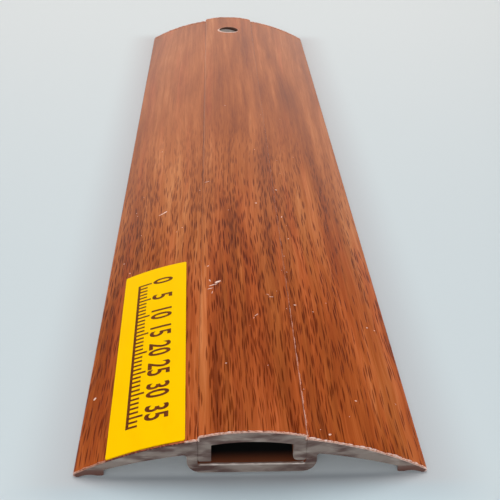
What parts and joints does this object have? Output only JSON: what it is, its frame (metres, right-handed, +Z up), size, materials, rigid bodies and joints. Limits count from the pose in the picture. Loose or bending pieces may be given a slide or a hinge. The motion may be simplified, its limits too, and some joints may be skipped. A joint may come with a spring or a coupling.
{
  "type": "threshold cable channel",
  "caption": "Arched aluminium floor threshold strip with a snap-in cover over a cable channel, wrapped in wood-look foil and drilled near its end for a screw.",
  "frame": {"origin": "on the floor, under the middle of the strip", "axes": "+X across the strip towards the wing without the label, +Y along the strip towards the drilled end, +Z up"},
  "size_m": [0.05, 0.2, 0.008],
  "materials": {
    "aluminium": "mill-finish extrusion with dull sawn ends, grey with brown smears",
    "walnut_foil": "satin foil printed as reddish walnut with short dark pores along the length",
    "label_tape": "satin yellow tape with a plain dark brown scale"
  },
  "bodies": {
    "base": {"base_profile": "aluminium", "right_wing_foil": "walnut_foil", "left_wing_foil": "walnut_foil", "tape_label": "label_tape"},
    "cover": {"cover_profile": "aluminium", "cover_foil": "walnut_foil"}
  },
  "joints": [
    {"name": "cover_lift", "type": "slide", "parent": "base", "child": "cover", "axis": [0, 0, 1], "range_m": [0, 0.02]}
  ]
}
